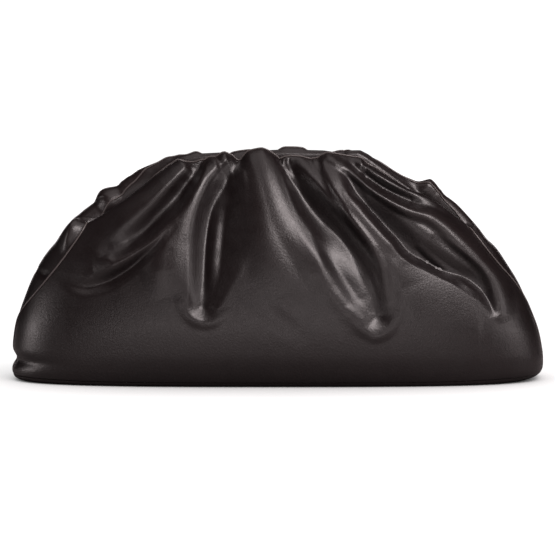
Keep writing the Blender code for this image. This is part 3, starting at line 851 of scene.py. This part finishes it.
def edge_tree():
    """Sweeps a thin, slightly uneven roll of leather along a path of edges."""
    tree = bpy.data.node_groups.new("rolled_edge", "GeometryNodeTree")
    tree.interface.new_socket("Geometry", in_out="INPUT", socket_type="NodeSocketGeometry")
    for label, value in (("Edge Radius", EDGE_RADIUS), ("Step", EDGE_STEP), ("Unevenness", EDGE_UNEVEN)):
        tree.interface.new_socket(label, in_out="INPUT", socket_type="NodeSocketFloat").default_value = value
    tree.interface.new_socket("Finish", in_out="INPUT", socket_type="NodeSocketMaterial")
    tree.interface.new_socket("Geometry", in_out="OUTPUT", socket_type="NodeSocketGeometry")
    nodes, links = tree.nodes, tree.links
    enter, leave = nodes.new("NodeGroupInput"), nodes.new("NodeGroupOutput")
    path = nodes.new("GeometryNodeMeshToCurve")
    links.new(enter.outputs["Geometry"], path.inputs["Mesh"])
    even = nodes.new("GeometryNodeResampleCurve")
    even.mode = "LENGTH"
    links.new(path.outputs[0], even.inputs["Curve"])
    links.new(enter.outputs["Step"], even.inputs["Length"])
    wander = nodes.new("ShaderNodeTexNoise")
    wander.inputs["Scale"].default_value = EDGE_WANDER_SCALE
    centred = nodes.new("ShaderNodeVectorMath")
    centred.operation = "SUBTRACT"
    centred.inputs[1].default_value = (0.5, 0.5, 0.5)
    links.new(wander.outputs["Color"], centred.inputs[0])
    scaled = nodes.new("ShaderNodeVectorMath")
    scaled.operation = "SCALE"
    links.new(centred.outputs[0], scaled.inputs[0])
    links.new(enter.outputs["Unevenness"], scaled.inputs["Scale"])
    moved = nodes.new("GeometryNodeSetPosition")
    links.new(even.outputs[0], moved.inputs["Geometry"])
    links.new(scaled.outputs[0], moved.inputs["Offset"])
    ring = nodes.new("GeometryNodeCurvePrimitiveCircle")
    ring.inputs["Resolution"].default_value = EDGE_SIDES
    links.new(enter.outputs["Edge Radius"], ring.inputs["Radius"])
    swept = nodes.new("GeometryNodeCurveToMesh")
    swept.inputs["Fill Caps"].default_value = True
    links.new(moved.outputs[0], swept.inputs["Curve"])
    links.new(ring.outputs[0], swept.inputs["Profile Curve"])
    # Marks the whole roll fully lighter, partly as rubbed wear and partly as a painted highlight.
    worn_and_lit = nodes.new("GeometryNodeStoreNamedAttribute")
    worn_and_lit.data_type = "FLOAT"
    worn_and_lit.domain = "POINT"
    worn_and_lit.inputs["Name"].default_value = "wear_and_highlight"
    worn_and_lit.inputs["Value"].default_value = 1.0
    links.new(swept.outputs[0], worn_and_lit.inputs["Geometry"])
    smooth = nodes.new("GeometryNodeSetShadeSmooth")
    links.new(worn_and_lit.outputs[0], smooth.inputs["Geometry"])
    real = nodes.new("GeometryNodeRealizeInstances")
    links.new(smooth.outputs[0], real.inputs["Geometry"])
    coat = nodes.new("GeometryNodeSetMaterial")
    links.new(real.outputs[0], coat.inputs["Geometry"])
    links.new(enter.outputs["Finish"], coat.inputs["Material"])
    links.new(coat.outputs[0], leave.inputs["Geometry"])
    return tree


def rolled_edge(name, tree, lines):
    """One piece of rolled edge along lines of points."""
    points, edges = [], []
    for line in lines:
        start = len(points)
        points += [tuple(p) for p in line]
        edges += [(start + i, start + i + 1) for i in range(len(line) - 1)]
    path_mesh = bpy.data.meshes.new(name)
    path_mesh.from_pydata(points, edges, [])
    piece = bpy.data.objects.new(name, path_mesh)
    bpy.context.scene.collection.objects.link(piece)
    roll = piece.modifiers.new("roll", "NODES")
    roll.node_group = tree
    for item in tree.interface.items_tree:
        if item.name == "Finish":
            roll[item.identifier] = EDGE_GLINT_LEATHER
        elif item.name == "Edge Radius":
            roll[item.identifier] = EDGE_RADIUS
    made = piece.evaluated_get(bpy.context.evaluated_depsgraph_get())
    mesh = bpy.data.meshes.new_from_object(made, depsgraph=bpy.context.evaluated_depsgraph_get())
    piece.modifiers.remove(roll)
    piece.data = mesh
    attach(piece, "root")


ROLLED_EDGE = edge_tree()
front_lip_row = int(np.argmin(np.abs(front_places - LIP_LEVEL)))
back_lip_row = int(np.argmin(np.abs(back_places - LIP_LEVEL)))
front_proud = front_outside + outward_normals(front_outside) * EDGE_RADIUS * FRONT_EDGE_PROUD
back_proud = back_outside + outward_normals(back_outside) * EDGE_RADIUS * BACK_EDGE_PROUD
back_edge = back_proud[back_lip_row, BACK_EDGE_ENDS:-BACK_EDGE_ENDS]
front_border = np.concatenate(
    [
        front_proud[:front_lip_row, 0],
        front_proud[front_lip_row],
        front_proud[:front_lip_row, -1][::-1],
    ]
)
rolled_edge("front_seam_edge", ROLLED_EDGE, [front_border])
rolled_edge("back_lip_edge", ROLLED_EDGE, [back_edge])


# The clasp frame: one plain loop of spring steel, bent to the arch of the mouth and held between the turned-in
# lips. It keeps its shape from the solids and gets a brushed nickel surface.

FRAME_COLOUR = (0.62, 0.60, 0.57, 1)
FRAME_GLOSS = (0.24, 0.42)
BRUSH_SCALE = 900
BRUSH_STRETCH = (0.04, 1.0, 1.0)
BRUSH_DETAIL = 4
brushed = bpy.data.materials.new("brushed_nickel")
brushed.use_nodes = True
nodes, links = brushed.node_tree.nodes, brushed.node_tree.links
metal = nodes["Principled BSDF"]
metal.inputs["Metallic"].default_value = 1.0
metal.inputs["Base Color"].default_value = FRAME_COLOUR
place = nodes.new("ShaderNodeTexCoord")
stretched = nodes.new("ShaderNodeMapping")
stretched.inputs["Scale"].default_value = BRUSH_STRETCH
lines = nodes.new("ShaderNodeTexNoise")
lines.inputs["Scale"].default_value = BRUSH_SCALE
lines.inputs["Detail"].default_value = BRUSH_DETAIL
links.new(place.outputs["Object"], stretched.inputs["Vector"])
links.new(stretched.outputs[0], lines.inputs["Vector"])
gloss = nodes.new("ShaderNodeMapRange")
gloss.inputs["To Min"].default_value, gloss.inputs["To Max"].default_value = FRAME_GLOSS
links.new(lines.outputs["Fac"], gloss.inputs["Value"])
links.new(gloss.outputs[0], metal.inputs["Roughness"])
frame_bars = bpy.data.objects["clasp_frame"]
frame_bars.data.materials.clear()
frame_bars.data.materials.append(brushed)


# The floor and the light: a plain pale sheet of backdrop paper lies flat under the bag. It's lit by softboxes
# on stands, the strongest of them in front, high and to the right. None of it belongs to the bag.

FLOOR_HALF = 6
PAPER_GREY = (0.2, 0.2, 0.2, 1)
PAPER_SEEN_BY_BAG = (0.34, 0.32, 0.32, 1)
SWEEP_FROM, SWEEP_TO = 0.3, 1.2
SWEEP_GLOW = (0.95, 1.05)
SHADOW_REACH = 0.08
SHADOW_SAMPLES = 12
ROOM_GLOW = (0.01, 1.05)
LAMP_COLOUR = (1.0, 0.90, 0.90)
LAMP_TARGET = Vector((0, 0, 0.08))

floor_mesh = bpy.data.meshes.new("floor")
floor_corners = [(-FLOOR_HALF, -FLOOR_HALF, 0), (FLOOR_HALF, -FLOOR_HALF, 0)]
floor_corners += [(FLOOR_HALF, FLOOR_HALF, 0), (-FLOOR_HALF, FLOOR_HALF, 0)]
floor_mesh.from_pydata(floor_corners, [], [(0, 1, 2, 3)])
floor = bpy.data.objects.new("floor", floor_mesh)
bpy.context.scene.collection.objects.link(floor)
pale = bpy.data.materials.new("pale_floor")
pale.use_nodes = True
nodes, links = pale.node_tree.nodes, pale.node_tree.links
paper = nodes["Principled BSDF"]
paper.inputs["Base Color"].default_value = PAPER_GREY
paper.inputs["Roughness"].default_value = 0.9
place = nodes.new("ShaderNodeTexCoord")
reach = nodes.new("ShaderNodeVectorMath")
reach.operation = "LENGTH"
links.new(place.outputs["Object"], reach.inputs[0])
sweep = nodes.new("ShaderNodeMapRange")
sweep.inputs["From Min"].default_value = SWEEP_FROM
sweep.inputs["From Max"].default_value = SWEEP_TO
sweep.inputs["To Min"].default_value, sweep.inputs["To Max"].default_value = SWEEP_GLOW
links.new(reach.outputs["Value"], sweep.inputs["Value"])
# The bag's soft contact shadow: the floor's glow fades where the bag stands over it.
openness = nodes.new("ShaderNodeAmbientOcclusion")
openness.samples = SHADOW_SAMPLES
openness.inputs["Distance"].default_value = SHADOW_REACH
openness.inputs["Color"].default_value = PAPER_SEEN_BY_BAG
shadowed = nodes.new("ShaderNodeMath")
shadowed.operation = "MULTIPLY"
links.new(sweep.outputs["Result"], shadowed.inputs[0])
links.new(openness.outputs["AO"], shadowed.inputs[1])
glow = nodes.new("ShaderNodeEmission")
links.new(shadowed.outputs[0], glow.inputs["Strength"])
lit = nodes.new("ShaderNodeAddShader")
links.new(paper.outputs[0], lit.inputs[0])
links.new(glow.outputs[0], lit.inputs[1])
# The bag itself sees a greyer floor than the camera does, as if the light fell off beyond the sweep, and the
# same painted contact shadow darkens it near the bag.
shaded = nodes.new("ShaderNodeBsdfDiffuse")
links.new(openness.outputs["Color"], shaded.inputs["Color"])
ray = nodes.new("ShaderNodeLightPath")
seen_floor = nodes.new("ShaderNodeMixShader")
links.new(ray.outputs["Is Camera Ray"], seen_floor.inputs[0])
links.new(shaded.outputs[0], seen_floor.inputs[1])
links.new(lit.outputs[0], seen_floor.inputs[2])
links.new(seen_floor.outputs[0], nodes["Material Output"].inputs[0])
floor_mesh.materials.append(pale)

world = bpy.data.worlds.new("white_room")
bpy.context.scene.world = world
world.use_nodes = True
nodes, links = world.node_tree.nodes, world.node_tree.links
ray = nodes.new("ShaderNodeLightPath")
brightness = nodes.new("ShaderNodeMapRange")
brightness.inputs["To Min"].default_value, brightness.inputs["To Max"].default_value = ROOM_GLOW
nodes["Background"].inputs["Color"].default_value = (1, 1, 1, 1)
links.new(ray.outputs["Is Camera Ray"], brightness.inputs["Value"])
links.new(brightness.outputs["Result"], nodes["Background"].inputs["Strength"])

Softbox = namedtuple("Softbox", "name place size watts")
for box in (
    Softbox("key", (0.62, -0.94, 1.22), (0.9, 0.8), 32),
    Softbox("right_side", (1.7, -0.6, 0.45), (0.8, 0.6), 6),
    Softbox("overhead", (-0.1, 0.1, 1.6), (1.6, 1.2), 6),
    Softbox("front_fill", (-0.15, -2.4, 0.15), (2.4, 0.28), 11),
    Softbox("left_side", (-1.8, -0.3, 0.25), (0.6, 0.5), 7),
    Softbox("back_fill", (0.0, 2.4, 0.4), (2.2, 0.8), 9),
):
    lamp = bpy.data.lights.new(box.name, "AREA")
    lamp.shape = "RECTANGLE"
    lamp.size, lamp.size_y = box.size
    lamp.energy = box.watts
    lamp.color = LAMP_COLOUR
    held = bpy.data.objects.new(box.name, lamp)
    held.location = box.place
    held.rotation_euler = (LAMP_TARGET - held.location).to_track_quat("-Z", "Y").to_euler()
    bpy.context.scene.collection.objects.link(held)


# The camera: it stands 2 m off on a tripod, a little above the bag, and is aimed just under its middle with a
# long lens. It sees what the elevation shows that the folds were placed on.

SENSOR_WIDTH = 36
lens = bpy.data.cameras.new("camera")
lens.sensor_width = SENSOR_WIDTH
lens.lens = SENSOR_WIDTH * VIEW_POINT.length / (VIEW_STEP * VIEW_STEPS)
camera = bpy.data.objects.new("camera", lens)
camera.location = VIEW_POINT
camera.rotation_euler = (VIEW_TARGET - VIEW_POINT).to_track_quat("-Z", "Y").to_euler()
bpy.context.scene.collection.objects.link(camera)
bpy.context.scene.camera = camera
bpy.context.scene.view_settings.view_transform = "Standard"
